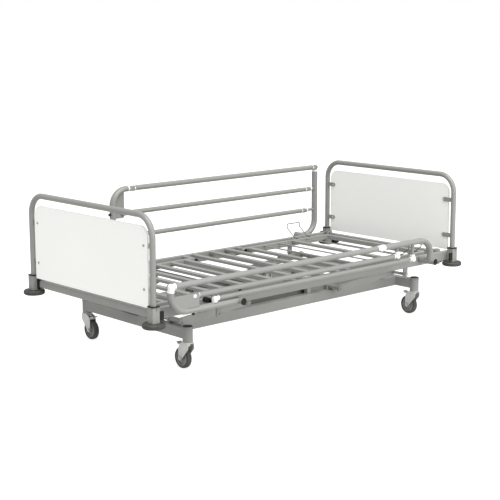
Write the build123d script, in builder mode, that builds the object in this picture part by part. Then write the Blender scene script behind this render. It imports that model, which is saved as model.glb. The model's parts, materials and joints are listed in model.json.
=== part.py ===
"""Adjustable hospital bed: base on four casters, parallelogram lift, four-part mattress platform,
two lift-out end boards and two folding three-bar side rails.

Frame: millimetres, origin on the floor under the middle of the bed, +X towards the head end,
+Y away from the near side, +Z up.  The bed is drawn at its lowest height, platform flat,
near side rail folded down and far side rail raised.
"""
from build123d import *
import os
from math import atan2, cos, degrees, hypot, radians, sin

os.makedirs("parts", exist_ok=True)

# ---------------------------------------------------------------- driving dimensions
LEG_X, LEG_Y = 1041.0, 475.0        # end board legs, from the middle of the bed
DECK_TOP = 333.0                    # surface that the mattress lies on
WELD = 0.2                          # gap left between members that are welded together
FIT = 0.05                          # radial running clearance
STEEL = 2.0                         # wall of the steel tubes

# end boards
BOARD_R = 14.0                      # tube radius
BOARD_TOP = 750.0                   # centre of the top bar
BOARD_BEND = 95.0
LEG_FOOT = 282.3                    # lower end of the legs, inside the sockets
PANEL_Y, PANEL_T, PANEL_CORNER = 444.0, 10.0, 50.0
PANEL_LOW, PANEL_HIGH = 339.0, 702.0
TAB_Y, TAB_R, TAB_T = 418.0, 11.0, 4.0
TAB_Z = (420.0, 616.0)
SCREW_R, SCREW_HEAD_R = 3.0, 6.5

# corner sockets and bumpers
SOCKET, SOCKET_WALL = 40.0, 4.0
SOCKET_LOW, SOCKET_HIGH = 277.0, 348.4
COLLAR, COLLAR_T, SLEEVE_DEPTH = 43.0, 4.5, 52.0
LATCH = (22.0, 8.0, 41.0)           # release tab beside each socket: x, y and z size
LATCH_TOP = 328.0
POLE_X, POLE_Y = 985.5, 410.5       # infusion pole sockets, inside the head corners
POLE_R, POLE_BORE, POLE_LOW, POLE_HIGH = 19.0, 13.0, 262.0, 343.0
BUMPER_R, BUMPER_T, BUMPER_Z = 52.5, 22.0, 265.0
BUMPER_BOLT_R = 6.0

# deck frame
RAIL_OUT, RAIL_W, RAIL_H = 455.0, 25.0, 50.0     # side rail: outer face, width, height
RAIL_END = 15.0                     # its end, from the middle of the end board's leg
CROSS_X, CROSS_TOP = 1020.0, 325.0  # end crossbars: middle and top
CROSS_W, CROSS_H = 30.0, 34.0
TIE_R, TIE_Z, TIE_Y = 4.0, 267.0, 419.0          # rod under the head crossbar
TIE_BLOCK = 46.0
SLAT_W, SLAT_H = 30.0, 15.0
SLAT_LOW = DECK_TOP - SLAT_H
MEMBER = 25.0                       # square tube of the section frames
STRUT_LOW, STRUT_H = 284.0, 16.0    # two struts under the slats that carry the drives
STRUT_X = (-375.0, 170.0)
LUG_X = (-632.0, 690.0)             # lugs under the side rails: accessory slot, lift pivot
LUG_W, LUG_T, LUG_LOW = 30.0, 8.0, 229.0

# platform sections, by their hinge lines
HINGE_Z = DECK_TOP - MEMBER / 2
BACK_X, THIGH_X, KNEE_X = 268.0, -120.0, -450.0
BACK_IN, THIGH_IN, FOOT_IN = 360.0, 330.0, 358.0   # inner faces of the section side members
BACK_END, FOOT_END = 940.0, -975.0
HINGE_PIN_R = 6.0
SEAT_SLATS = (-52.0, 74.0, 188.0)
BACK_SLATS = (300.0, 645.0)
BACK_RODS = ((410.0, 4.0), (526.0, 4.0), (745.0, 3.0))     # x and radius of the plain rods
THIGH_SLATS = (-280.0, -376.0)
FOOT_SLATS = (-500.0, -592.0, -700.0, -808.0, -890.0)
END_BEND, END_REACH = 25.0, 42.0    # bent end tube: centreline radius, length along the bed
CRANK_SLAT_H = 25.0                 # the thigh section's first slat, which carries its crank
CRANK_X = (300.0, -184.0)

# base
STEM_X, STEM_Y = (-783.0, 820.4), 395.7
STEM_R, STEM_LOW, STEM_HIGH = 24.0, 131.5, 203.5
BASE_W, BASE_LOW, BASE_H = 40.0, 146.0, 50.0
BEAM_OUT = 280.0
BASE_TOP = BASE_LOW + BASE_H
RUNNER_W, RUNNER_LOW, RUNNER_H = 30.0, 176.0, 54.0     # stiffener along each beam's inner face
RUNNER_X = (-235.0, 130.0)          # open channel from the first to the second, then closed
RUNNER_WALL = 3.0
BRACKET = (25.0, 22.0)              # upright that ties it to the beam: length and depth

# lift: two parallel pairs of arms, base pivot to deck pivot
LIFT_X = (-775.0, 290.0)
LIFT_Z, LIFT_DX, LIFT_DZ = 217.0, 400.0, 30.0
ARM_Y, ARM_T, ARM_R = 339.0, 12.0, 18.0
SHAFT_R, STUB_SHAFT_R = 12.5, 8.0

# casters
WHEEL_R, WHEEL_W, TRAIL = 50.0, 26.0, 34.0
HUB_R, AXLE_R = 38.0, 6.0
FORK_GAP, FORK_T = 17.0, 2.5
KINGPIN_R = 10.0
PEDAL_T0, PEDAL_Z = 24.0, 110.0     # pedal pivot: distance from the stem axis, height
PEDAL_PIN_R = 2.5

# side rails, in each rail's own frame: u towards the head when raised, v up when raised
RAIL_Y, PIVOT_Z, RAIL_SPAN = 525.0, 316.5, 1376.5
NEAR_PIVOT_X, FAR_PIVOT_X = -585.0, -517.0
TOP_UV, MID_UV, LOW_UV = (120.0, 399.0), (63.0, 272.0), (31.0, 147.0)
RAIL_BEND = 85.0
OVAL_Y, OVAL_R = 19.0, 15.0         # half axes of the oval bow and post tube
TOP_BAR_R, BAR_R = 14.0, 12.5
PIVOT_TUBE_R, PIVOT_PIN_R = 16.0, 10.0
TUBE_START, TUBE_END = 458.0, 562.0
KNUCKLE_R, LOW_KNUCKLE_R, KNUCKLE_IN, KNUCKLE_OUT = 15.0, 13.0, -2.0, 14.0
TONGUE, COLLAR_FROM, COLLAR_TO = 27.0, 15.5, 24.0
RIVET_R, RIVET_PLAY = 4.0, 1.0
STUB_R = 8.0
GUSSET_EDGE, GUSSET_LOW, GUSSET_T = 74.0, 247.0, 16.0
BUTTON_R, BUTTON_OUT = 7.0, 24.0

# electric drives of the backrest and the thigh section
DRIVE_Y = 120.0
CRANK = 100.0
BACK_SWING, THIGH_SWING = 70.0, 35.0
DRIVE_Z = 229.5
YOKE_HALF, YOKE_SLOT = 16.0, 8.2

SIDES = {"near": -1, "far": 1}
ENDS = {"foot": -1, "head": 1}


# ---------------------------------------------------------------- small building steps
def finish(builder, label):
    """Label a finished sub-part and write it."""
    builder.part.label = label
    export_step(builder.part, f"parts/{label}.step")


def square_tube(axis, start, end, centre, size, wall=STEEL):
    """Add a hollow rectangular tube along X or Y; centre and size are across the tube."""
    plane = Plane.YZ.offset(start) if axis == "X" else Plane.XZ.offset(-start)
    with BuildSketch(plane) as section:
        with Locations(centre):
            RectangleRounded(size[0], size[1], 3)
            RectangleRounded(size[0] - 2 * wall, size[1] - 2 * wall, 1.5, mode=Mode.SUBTRACT)
    extrude(section.sketch, amount=(end - start) if axis == "X" else (start - end))


def round_bar(axis, start, end, centre, radius, bore=0.0, mode=Mode.ADD):
    """Add or cut a round bar or tube along X, Y or Z; centre is across the bar."""
    plane = {"X": Plane.YZ, "Y": Plane.XZ, "Z": Plane.XY}[axis]
    sign = -1 if axis == "Y" else 1
    with BuildSketch(plane.offset(sign * start)) as section:
        with Locations(centre):
            Circle(radius)
            if bore:
                Circle(bore, mode=Mode.SUBTRACT)
    extrude(section.sketch, amount=sign * (end - start), mode=mode)


def block(x, y, z, mode=Mode.ADD):
    """Add or cut a box given by its three (low, high) ranges."""
    with Locations(((x[0] + x[1]) / 2, (y[0] + y[1]) / 2, (z[0] + z[1]) / 2)):
        Box(x[1] - x[0], y[1] - y[0], z[1] - z[0], mode=mode)


def span(a, b):
    """Two coordinates in rising order."""
    return (a, b) if a < b else (b, a)


# ---------------------------------------------------------------- base
with BuildPart() as base_frame:
    for x in STEM_X:
        square_tube("Y", -STEM_Y + 8, STEM_Y - 8, (x, BASE_LOW + BASE_H / 2), (BASE_W, BASE_H))
        for side in SIDES.values():
            round_bar("Z", BASE_LOW - 1, BASE_TOP + 1, (x, side * STEM_Y), STEM_R + WELD,
                      mode=Mode.SUBTRACT)
    for side in SIDES.values():
        square_tube("X", STEM_X[0] + BASE_W / 2 + WELD, STEM_X[1] - BASE_W / 2 - WELD,
                    (side * (BEAM_OUT - BASE_W / 2), BASE_LOW + BASE_H / 2), (BASE_W, BASE_H))
        face = BEAM_OUT - BASE_W - WELD
        centre = (side * (face - RUNNER_W / 2), RUNNER_LOW + RUNNER_H / 2)
        with BuildSketch(Plane.YZ.offset(RUNNER_X[0])) as channel:
            with Locations(centre):
                Rectangle(RUNNER_W, RUNNER_H)
            with Locations((centre[0] + side * RUNNER_WALL, centre[1])):
                Rectangle(RUNNER_W, RUNNER_H - 2 * RUNNER_WALL, mode=Mode.SUBTRACT)
        extrude(channel.sketch, amount=RUNNER_X[1] - RUNNER_X[0])
        square_tube("X", RUNNER_X[1] + WELD, STEM_X[1] - BASE_W / 2 - WELD, centre,
                    (RUNNER_W, RUNNER_H))
        block((RUNNER_X[1], RUNNER_X[1] + BRACKET[0]),
              span(side * (face + WELD), side * (face + WELD + BRACKET[1])),
              (BASE_TOP + WELD, RUNNER_LOW + RUNNER_H))
        for x in STEM_X:
            round_bar("Z", STEM_LOW, STEM_HIGH, (x, side * STEM_Y), STEM_R, KINGPIN_R + FIT)
        for x in LIFT_X:
            y = side * (BEAM_OUT - BASE_W / 2)
            with BuildSketch(Plane.XZ.offset(-y - 4)) as ear:
                with Locations((x, (BASE_TOP + WELD + LIFT_Z) / 2)):
                    Rectangle(36, LIFT_Z - BASE_TOP - WELD)
                with Locations((x, LIFT_Z)):
                    Circle(18)
                    Circle(SHAFT_R + FIT, mode=Mode.SUBTRACT)
            extrude(amount=8)
finish(base_frame, "base_frame")

with BuildPart() as stem_plugs:
    for x in STEM_X:
        for side in SIDES.values():
            with BuildSketch(Plane.XY.offset(STEM_HIGH + WELD)):
                with Locations((x, side * STEM_Y)):
                    Circle(STEM_R - 1)
            extrude(amount=3, taper=25)
finish(stem_plugs, "stem_plugs")

with BuildPart() as lift_gearbox:
    block((-816, -700), (-50, 50), (BASE_TOP + 5, 262))
    fillet(lift_gearbox.edges(), 8)
    block((-801, -765), (-40, 40), (BASE_TOP + WELD, BASE_TOP + 14))
    round_bar("X", -705, -560, (0, 230), 25)
    round_bar("X", -560, -548, (0, 230), 19)
    round_bar("Y", -51, 51, (LIFT_X[0], LIFT_Z), SHAFT_R + FIT, mode=Mode.SUBTRACT)
finish(lift_gearbox, "lift_gearbox")


# ---------------------------------------------------------------- lift arms
def lift_arm(x, side):
    """Add one flat arm from its base pivot to its deck pivot, on one side of the bed."""
    slope = degrees(atan2(LIFT_DZ, LIFT_DX))
    with BuildSketch(Plane.XZ.offset(-side * (ARM_Y + ARM_T / 2) - ARM_T / 2)) as outline:
        with Locations((x + LIFT_DX / 2, LIFT_Z + LIFT_DZ / 2)):
            SlotCenterToCenter(hypot(LIFT_DX, LIFT_DZ), 2 * ARM_R, rotation=slope)
    extrude(outline.sketch, amount=ARM_T)


DECK_PIVOT_Z = LIFT_Z + LIFT_DZ
HANGER_Y = 356.0                    # inner face of the plates that carry the foot pair's pins
LUG_PLAY = 1.0                      # radial play where the head pair's shaft passes its lugs

with BuildPart() as foot_lift_frame:
    for side in SIDES.values():
        lift_arm(LIFT_X[0], side)
        y = span(side * (ARM_Y + ARM_T + WELD), side * (HANGER_Y + 10))
        round_bar("Y", y[0], y[1], (LIFT_X[0] + LIFT_DX, DECK_PIVOT_Z), STUB_SHAFT_R)
    round_bar("Y", -ARM_Y + WELD, ARM_Y - WELD, (LIFT_X[0], LIFT_Z), SHAFT_R)
finish(foot_lift_frame, "foot_lift_frame")

with BuildPart() as head_lift_frame:
    for side in SIDES.values():
        lift_arm(LIFT_X[1], side)
        y = span(side * (BEAM_OUT - BASE_W / 2 - 8), side * (ARM_Y - WELD))
        round_bar("Y", y[0], y[1], (LIFT_X[1], LIFT_Z), SHAFT_R)
        y = span(side * (ARM_Y + ARM_T + WELD), side * (RAIL_OUT - 5))
        round_bar("Y", y[0], y[1], (LUG_X[1], DECK_PIVOT_Z), STUB_SHAFT_R)
    round_bar("Y", -ARM_Y + WELD, ARM_Y - WELD, (LUG_X[1], DECK_PIVOT_Z), SHAFT_R)
finish(head_lift_frame, "head_lift_frame")


# ---------------------------------------------------------------- casters
def caster(tag, x, side):
    """One braked swivel caster with its wheel trailing towards the middle of the bed."""
    inward = -side
    stem_y = side * STEM_Y
    axle_y = stem_y + inward * TRAIL

    plate_low = 124.0

    def reach(t):
        return stem_y + inward * t

    with BuildPart() as fork:
        for cheek in (-1, 1):
            face = x + cheek * (FORK_GAP + FORK_T / 2) - FORK_T / 2
            with BuildSketch(Plane.YZ.offset(face)):
                with BuildLine():
                    Polyline((reach(-23), plate_low), (reach(-23), 100), (reach(TRAIL - 12), 48),
                             (reach(TRAIL - 6), 39.5), (reach(TRAIL + 6), 39.5),
                             (reach(TRAIL + 12), 48), (reach(TRAIL + 12), 98),
                             (reach(TRAIL + 4), 118), (reach(22), plate_low), close=True)
                make_face()
                with Locations((axle_y, WHEEL_R)):
                    Circle(AXLE_R + WELD, mode=Mode.SUBTRACT)
                with Locations((reach(PEDAL_T0), PEDAL_Z)):
                    Circle(PEDAL_PIN_R + FIT, mode=Mode.SUBTRACT)
            extrude(amount=FORK_T)
        y = span(reach(-23), reach(22))
        block((x - FORK_GAP - FORK_T, x + FORK_GAP + FORK_T), y, (plate_low + WELD, 127.5))
        round_bar("Z", 112, 127, (x, stem_y), 13)
        round_bar("Z", 127, STEM_LOW - 0.5, (x, stem_y), 21)
        round_bar("Z", STEM_LOW - 1, STEM_HIGH - 4, (x, stem_y), KINGPIN_R)
        round_bar("X", x - FORK_GAP - FORK_T - 4, x + FORK_GAP + FORK_T + 4,
                  (axle_y, WHEEL_R), AXLE_R)
    finish(fork, f"caster_fork_{tag}")

    with BuildPart() as wheel:
        with BuildSketch(Plane.YZ.offset(x - WHEEL_W / 2 + 2)):
            with Locations((axle_y, WHEEL_R)):
                Circle(HUB_R)
                Circle(AXLE_R + FIT, mode=Mode.SUBTRACT)
        extrude(amount=WHEEL_W - 4)
        for face in (-1, 1):
            start = x + face * (WHEEL_W / 2 - 2)
            with BuildSketch(Plane.YZ.offset(start)):
                with Locations((axle_y, WHEEL_R)):
                    Circle(HUB_R - 7)
                    Circle(14, mode=Mode.SUBTRACT)
            extrude(amount=-face * 5, mode=Mode.SUBTRACT)
            with BuildSketch(Plane.YZ.offset(start)):
                with Locations((axle_y, WHEEL_R)):
                    Circle(10)
                    Circle(AXLE_R + FIT, mode=Mode.SUBTRACT)
            extrude(amount=face * 4)
    finish(wheel, f"caster_wheel_{tag}")

    with BuildPart() as tyre:
        with BuildSketch(Plane.YZ.offset(x - WHEEL_W / 2)):
            with Locations((axle_y, WHEEL_R)):
                Circle(WHEEL_R)
                Circle(HUB_R, mode=Mode.SUBTRACT)
        extrude(amount=WHEEL_W)
        rims = tyre.edges().filter_by(GeomType.CIRCLE).group_by(SortBy.RADIUS)[-1]
        fillet(rims, 7)
    finish(tyre, f"caster_tyre_{tag}")

    with BuildPart() as pedal:
        with BuildSketch(Plane.YZ.offset(x - 14)):
            with BuildLine():
                Polyline((reach(PEDAL_T0), 106), (reach(PEDAL_T0 + 14), 108),
                         (reach(PEDAL_T0 + 34), 113), (reach(PEDAL_T0 + 44), 120),
                         (reach(PEDAL_T0 + 41), 123), (reach(PEDAL_T0 + 30), 117),
                         (reach(PEDAL_T0 + 12), 115), (reach(PEDAL_T0 - 5), 115),
                         (reach(PEDAL_T0 - 6), 108), close=True)
            make_face()
        extrude(amount=28)
        pin_end = FORK_GAP + FORK_T + 1
        round_bar("X", x - pin_end, x + pin_end, (reach(PEDAL_T0), PEDAL_Z), PEDAL_PIN_R)
    finish(pedal, f"caster_pedal_{tag}")


for end_name, end in ENDS.items():
    for side_name, side in SIDES.items():
        caster(f"{end_name}_{side_name}", STEM_X[0] if end < 0 else STEM_X[1], side)


# ---------------------------------------------------------------- deck frame and its corners
SLAT_MID = SLAT_LOW + SLAT_H / 2

with BuildPart() as deck_frame:
    inner = RAIL_OUT - RAIL_W - WELD
    cross_low = CROSS_TOP - CROSS_H
    for side in SIDES.values():
        square_tube("X", -LEG_X + RAIL_END, LEG_X - RAIL_END,
                    (side * (RAIL_OUT - RAIL_W / 2), DECK_TOP - RAIL_H / 2), (RAIL_W, RAIL_H))
        block((CROSS_X - CROSS_W / 2, CROSS_X + CROSS_W / 2),
              span(side * (TIE_Y - TIE_BLOCK), side * TIE_Y),
              (TIE_Z + TIE_R + WELD, cross_low - WELD))
    for end in ENDS.values():
        square_tube("Y", -inner, inner, (end * CROSS_X, cross_low + CROSS_H / 2),
                    (CROSS_W, CROSS_H))
    round_bar("Y", -TIE_Y, TIE_Y, (CROSS_X, TIE_Z), TIE_R)
    for x in SEAT_SLATS:
        square_tube("Y", -inner, inner, (x, SLAT_MID), (SLAT_W, SLAT_H))
    for x in STRUT_X:
        square_tube("Y", -inner, inner, (x, STRUT_LOW + STRUT_H / 2), (30, STRUT_H))
finish(deck_frame, "deck_frame")

with BuildPart() as deck_lugs:
    for side in SIDES.values():
        lug_y = side * (RAIL_OUT - 15)
        lug_top = DECK_TOP - RAIL_H - WELD
        for x in LUG_X:
            with BuildSketch(Plane.XZ.offset(-lug_y - LUG_T / 2)):
                with Locations((x, (lug_top + LUG_LOW + LUG_W / 2) / 2)):
                    Rectangle(LUG_W, lug_top - LUG_LOW - LUG_W / 2)
                with Locations((x, LUG_LOW + LUG_W / 2)):
                    Circle(LUG_W / 2)
                with Locations((x, DECK_PIVOT_Z)):
                    if x < 0:
                        SlotOverall(16, 7, mode=Mode.SUBTRACT)
                    else:
                        Circle(STUB_SHAFT_R + LUG_PLAY, mode=Mode.SUBTRACT)
            extrude(amount=LUG_T)
        hanger_y = side * (HANGER_Y + 4)
        hanger_top = STRUT_LOW - WELD
        with BuildSketch(Plane.XZ.offset(-hanger_y - 4)):
            with Locations((STRUT_X[0], (hanger_top + DECK_PIVOT_Z) / 2)):
                Rectangle(32, hanger_top - DECK_PIVOT_Z)
            with Locations((STRUT_X[0], DECK_PIVOT_Z)):
                Circle(16)
                Circle(STUB_SHAFT_R + FIT, mode=Mode.SUBTRACT)
        extrude(amount=8)
        for x, y_in in ((BACK_X, BACK_IN + MEMBER + 8), (THIGH_X, THIGH_IN + MEMBER + 8)):
            y = span(side * y_in, side * inner)
            with BuildSketch(Plane.XZ.offset(-y[0])):
                with Locations((x, HINGE_Z)):
                    RectangleRounded(26, 24, 5)
                    Circle(HINGE_PIN_R, mode=Mode.SUBTRACT)
            extrude(amount=-(y[1] - y[0]))
finish(deck_lugs, "deck_lugs")

with BuildPart() as deck_pins:
    for side in SIDES.values():
        pivot_x = NEAR_PIVOT_X if side < 0 else FAR_PIVOT_X
        for x in (pivot_x, pivot_x + RAIL_SPAN):
            y = span(side * (RAIL_OUT + WELD), side * (TUBE_END - 6))
            round_bar("Y", y[0], y[1], (x, PIVOT_Z), PIVOT_PIN_R)
        for x, y_in in ((BACK_X, BACK_IN), (THIGH_X, THIGH_IN)):
            y = span(side * (y_in - 3), side * (inner - 3))
            round_bar("Y", y[0], y[1], (x, HINGE_Z), HINGE_PIN_R)
        for end in ENDS.values():
            centre = (end * LEG_X, side * LEG_Y)
            round_bar("Z", BUMPER_Z - BUMPER_T / 2 - 4.5, SOCKET_LOW - WELD, centre, BUMPER_BOLT_R)
            round_bar("Z", BUMPER_Z - BUMPER_T / 2 - 4.5, BUMPER_Z - BUMPER_T / 2 - 0.5, centre, 12)
finish(deck_pins, "deck_pins")

with BuildPart() as corner_sockets:
    for end in ENDS.values():
        for side in SIDES.values():
            x, y = end * LEG_X, side * LEG_Y
            with BuildSketch(Plane.XY.offset(SOCKET_LOW)):
                with Locations((x, y)):
                    RectangleRounded(SOCKET, SOCKET, 3)
            extrude(amount=SOCKET_HIGH - SOCKET_LOW)
            bore = SOCKET / 2 - SOCKET_WALL
            block((x - bore, x + bore), (y - bore, y + bore), (SOCKET_LOW + 5, SOCKET_HIGH),
                  mode=Mode.SUBTRACT)
            edge = side * (LEG_Y + SOCKET / 2)
            block((x + 1, x + 5), (edge - 6, edge + 6), (SOCKET_HIGH - 16, SOCKET_HIGH),
                  mode=Mode.SUBTRACT)
    for side in SIDES.values():
        centre = (POLE_X, side * POLE_Y)
        round_bar("Z", POLE_LOW, POLE_HIGH, centre, POLE_R)
        round_bar("Z", POLE_LOW + 5, POLE_HIGH, centre, POLE_BORE, mode=Mode.SUBTRACT)
finish(corner_sockets, "corner_sockets")

with BuildPart() as socket_collars:
    for end in ENDS.values():
        for side in SIDES.values():
            x, y = end * LEG_X, side * LEG_Y
            with BuildSketch(Plane.XY.offset(SOCKET_HIGH + WELD)):
                with Locations((x, y)):
                    RectangleRounded(COLLAR, COLLAR, 5)
            extrude(amount=COLLAR_T)
            with BuildSketch(Plane.XY.offset(SOCKET_HIGH + WELD)):
                with Locations((x, y)):
                    Rectangle(SOCKET - 2 * SOCKET_WALL - 2 * WELD, SOCKET - 2 * SOCKET_WALL - 2 * WELD)
            extrude(amount=-SLEEVE_DEPTH)
            round_bar("Z", SOCKET_HIGH - SLEEVE_DEPTH - 1, SOCKET_HIGH + COLLAR_T + 1, (x, y),
                      BOARD_R + FIT, mode=Mode.SUBTRACT)
            face = x - end * (SOCKET / 2 + WELD)
            outer = y + side * SOCKET / 2
            block(span(face, face - end * LATCH[0]), span(outer, outer - side * LATCH[1]),
                  (LATCH_TOP - LATCH[2], LATCH_TOP))
finish(socket_collars, "socket_collars")


def bumper(tag, x, y):
    """One wall bumper roller that turns about its upright bolt."""
    with BuildPart() as roller:
        with BuildSketch(Plane.XY.offset(BUMPER_Z - BUMPER_T / 2)):
            with Locations((x, y)):
                Circle(BUMPER_R)
                Circle(BUMPER_BOLT_R + FIT, mode=Mode.SUBTRACT)
        extrude(amount=BUMPER_T)
        outer = roller.edges().filter_by(GeomType.CIRCLE).group_by(SortBy.RADIUS)[-1]
        chamfer(outer, 5)
    finish(roller, f"bumper_{tag}")


for end_name, end in ENDS.items():
    for side_name, side in SIDES.items():
        bumper(f"{end_name}_{side_name}", end * LEG_X, side * LEG_Y)


# ---------------------------------------------------------------- platform sections
def side_members(x_hinge, x_far, y_in):
    """Add the two side members of a section, rounded and bored at their hinge end."""
    toward = 1 if x_far > x_hinge else -1
    for side in SIDES.values():
        y = span(side * y_in, side * (y_in + MEMBER))
        with BuildSketch(Plane.XZ.offset(-y[0])) as profile:
            with Locations(((x_hinge + x_far) / 2, HINGE_Z)):
                Rectangle(abs(x_far - x_hinge), MEMBER)
            with Locations((x_hinge, HINGE_Z)):
                Circle(MEMBER / 2)
                Circle(HINGE_PIN_R + FIT, mode=Mode.SUBTRACT)
        extrude(profile.sketch, amount=-MEMBER)
        block(span(x_hinge + toward * 22, x_far), (y[0] + STEEL, y[1] - STEEL),
              (HINGE_Z - MEMBER / 2 + STEEL, HINGE_Z + MEMBER / 2 - STEEL), mode=Mode.SUBTRACT)


def section_slats(xs, y_in):
    """Add the slats of a section between its side members."""
    for x in xs:
        square_tube("Y", -y_in + WELD, y_in - WELD, (x, SLAT_MID), (SLAT_W, SLAT_H))


def end_tube(x_end, toward, y_in):
    """Add the tube that closes a section at its far end, bent round at both corners."""
    x_in, x_mid = x_end - toward * END_REACH, x_end - toward * MEMBER / 2
    y_mid = y_in + MEMBER / 2
    with BuildLine(Plane.XY.offset(HINGE_Z)) as spine:
        FilletPolyline((x_in, -y_mid), (x_mid, -y_mid), (x_mid, y_mid), (x_in, y_mid),
                       radius=END_BEND)
    with BuildSketch(Plane(origin=spine.line @ 0, x_dir=(0, 1, 0), z_dir=(toward, 0, 0))) as section:
        RectangleRounded(MEMBER, MEMBER, 3)
        RectangleRounded(MEMBER - 2 * STEEL, MEMBER - 2 * STEEL, 1.5, mode=Mode.SUBTRACT)
    sweep(section.sketch, path=spine.line)


def crank(x_hinge, x_slat, z_slat, rest_angle, y):
    """Add the plate that hangs from a slat to the drive's pin, and the pin."""
    pin = (x_hinge + CRANK * sin(radians(rest_angle)), HINGE_Z - CRANK * cos(radians(rest_angle)))
    with BuildSketch(Plane.XZ.offset(-y - 4)) as plate:
        with BuildLine():
            Polyline((x_slat - 12, z_slat - WELD), (x_slat + 12, z_slat - WELD),
                     (pin[0] + 8, pin[1] - 4), (pin[0] - 8, pin[1] - 4), close=True)
        make_face()
        with Locations(pin):
            Circle(9)
    extrude(plate.sketch, amount=8)
    round_bar("Y", y - 16, y + 16, pin, 6)


with BuildPart() as backrest_section:
    side_members(BACK_X, BACK_END - END_REACH - WELD, BACK_IN)
    section_slats(BACK_SLATS, BACK_IN)
    for x, radius in BACK_RODS:
        round_bar("Y", -BACK_IN + WELD, BACK_IN - WELD, (x, DECK_TOP - radius), radius)
    end_tube(BACK_END, 1, BACK_IN)
    crank(BACK_X, CRANK_X[0], SLAT_LOW, -BACK_SWING / 2, DRIVE_Y)
finish(backrest_section, "backrest_section")

with BuildPart() as thigh_section:
    side_members(THIGH_X, KNEE_X, THIGH_IN)
    section_slats(THIGH_SLATS, THIGH_IN)
    square_tube("Y", -THIGH_IN + WELD, THIGH_IN - WELD,
                (CRANK_X[1], DECK_TOP - CRANK_SLAT_H / 2), (SLAT_W, CRANK_SLAT_H))
    crank(THIGH_X, CRANK_X[1], DECK_TOP - CRANK_SLAT_H, THIGH_SWING / 2, -DRIVE_Y)
    for side in SIDES.values():
        y = span(side * (THIGH_IN + MEMBER - 2), side * (FOOT_IN + MEMBER + 4))
        round_bar("Y", y[0], y[1], (KNEE_X, HINGE_Z), HINGE_PIN_R)
        round_bar("Y", *span(side * THIGH_IN, side * (THIGH_IN + MEMBER)), (KNEE_X, HINGE_Z),
                  MEMBER / 2)
finish(thigh_section, "thigh_section")

with BuildPart() as foot_section:
    side_members(KNEE_X, FOOT_END + END_REACH + WELD, FOOT_IN)
    section_slats(FOOT_SLATS, FOOT_IN)
    end_tube(FOOT_END, -1, FOOT_IN)
finish(foot_section, "foot_section")

RETAINER_X, RETAINER_R = (690.0, 790.0), 2.5
with BuildPart() as mattress_retainers:
    for side in SIDES.values():
        rise = [(372, DECK_TOP + 3), (402, 339), (462, 388), (462, 410)]
        points = [(RETAINER_X[0], side * y, z) for y, z in rise]
        points += [(RETAINER_X[1], side * y, z) for y, z in reversed(rise)]
        with BuildLine():
            wire = FilletPolyline(*points, radius=6)
        with BuildSketch(Plane(origin=wire @ 0, z_dir=wire % 0)):
            Circle(RETAINER_R)
        sweep(path=wire)
finish(mattress_retainers, "mattress_retainers")


# ---------------------------------------------------------------- drives of the sections
def drive(label, x_hinge, rest_angle, toward, centre_y, x_anchor):
    """One linear drive: a body fixed under the deck, and a rod that ends in a slotted yoke."""
    x_pin = x_hinge + CRANK * sin(radians(rest_angle))
    z_high = HINGE_Z - CRANK * cos(radians(rest_angle))
    z_low = HINGE_Z - CRANK
    gland = x_pin - toward * 42
    tail = gland - toward * 190

    with BuildPart() as body:
        round_bar("X", *span(tail, gland), (centre_y, DRIVE_Z), 17, 9 + FIT)
        with BuildSketch(Plane.YZ.offset(tail)):
            with Locations((centre_y, DRIVE_Z)):
                RectangleRounded(48, 55, 8)
        extrude(amount=-toward * 70)
        eye = tail - toward * 69
        if abs(x_anchor - eye) > 45:
            block(span(eye, x_anchor + toward * 12), (centre_y - 5, centre_y + 5),
                  (DRIVE_Z - 10, DRIVE_Z + 10))
            anchor_low = DRIVE_Z + 10 + WELD
        else:
            anchor_low = DRIVE_Z + 27.5 + WELD
        block((x_anchor - 12, x_anchor + 12), (centre_y - 5, centre_y + 5),
              (anchor_low, STRUT_LOW - WELD))
    finish(body, f"{label}_drive")

    with BuildPart() as rod:
        back = x_pin - toward * 30
        round_bar("X", *span(back - toward * 170, back), (centre_y, DRIVE_Z), 9)
        block(span(back, x_pin - toward * 19), (centre_y - YOKE_HALF, centre_y + YOKE_HALF),
              (DRIVE_Z - 12, DRIVE_Z + 12))
        for cheek in (-1, 1):
            y = span(centre_y + cheek * 8, centre_y + cheek * YOKE_HALF)
            block(span(x_pin - toward * 18.8, x_pin + toward * 15), y, (z_low - 14, z_high + 14))
            block((x_pin - YOKE_SLOT, x_pin + YOKE_SLOT), y, (z_low - 8, z_high + 8),
                  mode=Mode.SUBTRACT)
    finish(rod, f"{label}_drive_rod")


drive("backrest", BACK_X, -BACK_SWING / 2, 1, DRIVE_Y, STRUT_X[0])
drive("thigh", THIGH_X, THIGH_SWING / 2, -1, -DRIVE_Y, STRUT_X[1])


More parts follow.
